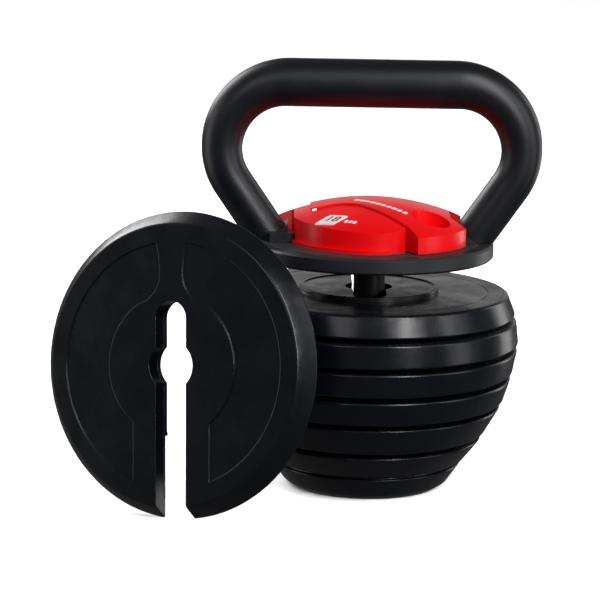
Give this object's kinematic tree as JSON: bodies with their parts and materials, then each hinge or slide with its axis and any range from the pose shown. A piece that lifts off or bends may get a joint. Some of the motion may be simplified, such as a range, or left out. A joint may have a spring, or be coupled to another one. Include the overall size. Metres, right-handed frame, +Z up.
{
  "type": "adjustable kettlebell",
  "caption": "Adjustable kettlebell: loop handle on a head plate with a flip-up lock lever, slotted weight plates stacked on a flat-sided shaft, and one loose plate standing beside it.",
  "frame": {"origin": "on the floor under the shaft's axis, at the centre of the base's flat underside", "axes": "+Z up along the shaft; -Y towards the closed ends of the plates' slots; +X towards the lever's finger end"},
  "size_m": [0.3475, 0.2614, 0.3081],
  "materials": {
    "powder_coat": "fine-textured black powder coat on steel",
    "head_coat": "textured black coat on die-cast aluminium",
    "black_steel": "blackened steel bar",
    "black_shell": "semi-gloss moulded black plastic",
    "iron": "rough grey casting",
    "rubber": "matt black rubber",
    "zinc_steel": "zinc-plated steel",
    "brass": "plain turned brass",
    "red_plastic": "glossy moulded red plastic",
    "badge_face": "white printed plate"
  },
  "bodies": {
    "frame": {"base_shell": "black_shell", "base_iron": "iron", "base_lid": "black_shell", "foot_ring": "rubber", "shaft": "black_steel", "shaft_nut": "zinc_steel", "shaft_bolt": "zinc_steel", "shaft_washer": "zinc_steel", "head_plate": "head_coat", "ribbed_pad": "rubber", "handle": "powder_coat", "handle_lugs": "powder_coat", "handle_bolts": "zinc_steel", "front_cover": "red_plastic", "rear_cover": "red_plastic", "cover_screws": "zinc_steel", "badge": "badge_face", "hinge_bracket": "powder_coat", "hinge_pin": "zinc_steel", "lever_spring": "zinc_steel", "yoke_bushes": "brass"},
    "plate_1": {"plate_1_shell": "black_shell", "plate_1_iron": "iron", "plate_1_lid": "black_shell"},
    "plate_2": {"plate_2_shell": "black_shell", "plate_2_iron": "iron", "plate_2_lid": "black_shell"},
    "plate_3": {"plate_3_shell": "black_shell", "plate_3_iron": "iron", "plate_3_lid": "black_shell"},
    "plate_4": {"plate_4_shell": "black_shell", "plate_4_iron": "iron", "plate_4_lid": "black_shell"},
    "plate_5": {"plate_5_shell": "black_shell", "plate_5_iron": "iron", "plate_5_lid": "black_shell"},
    "loose_plate": {"loose_plate_shell": "black_shell", "loose_plate_iron": "iron", "loose_plate_lid": "black_shell"},
    "lever": {"lock_lever": "red_plastic", "lift_pin": "zinc_steel"},
    "yoke": {"lock_yoke": "zinc_steel"}
  },
  "joints": [
    {"name": "plate_1_turn", "type": "hinge", "parent": "frame", "child": "plate_1", "pos_m": [0, 0, 0.1261], "axis": [0, 0, 1], "range_deg": [0, 90]},
    {"name": "plate_2_turn", "type": "hinge", "parent": "frame", "child": "plate_2", "pos_m": [0, 0, 0.1055], "axis": [0, 0, 1], "range_deg": [0, 90]},
    {"name": "plate_3_turn", "type": "hinge", "parent": "frame", "child": "plate_3", "pos_m": [0, 0, 0.0845], "axis": [0, 0, 1], "range_deg": [0, 90]},
    {"name": "plate_4_turn", "type": "hinge", "parent": "frame", "child": "plate_4", "pos_m": [0, 0, 0.0635], "axis": [0, 0, 1], "range_deg": [0, 90]},
    {"name": "plate_5_turn", "type": "hinge", "parent": "frame", "child": "plate_5", "pos_m": [0, 0, 0.04], "axis": [0, 0, 1], "range_deg": [0, 90]},
    {"name": "lever_lift", "type": "hinge", "parent": "frame", "child": "lever", "pos_m": [-0.0465, 0, 0.1882], "axis": [0, -1, 0], "range_deg": [0, 25], "stiffness_Nm_per_rad": 0.3, "springref_deg": -28.65},
    {"name": "yoke_rise", "type": "slide", "parent": "frame", "child": "yoke", "axis": [0, 0, 1], "range_m": [0, 0.008]},
    {"name": "loose_plate_lift", "type": "slide", "parent": "frame", "child": "loose_plate", "axis": [0, 0, 1], "range_m": [0, 0.35]}
  ],
  "couplings": [
    {"joint": "yoke_rise", "follows": "lever_lift", "m_per_rad": 0.018}
  ]
}
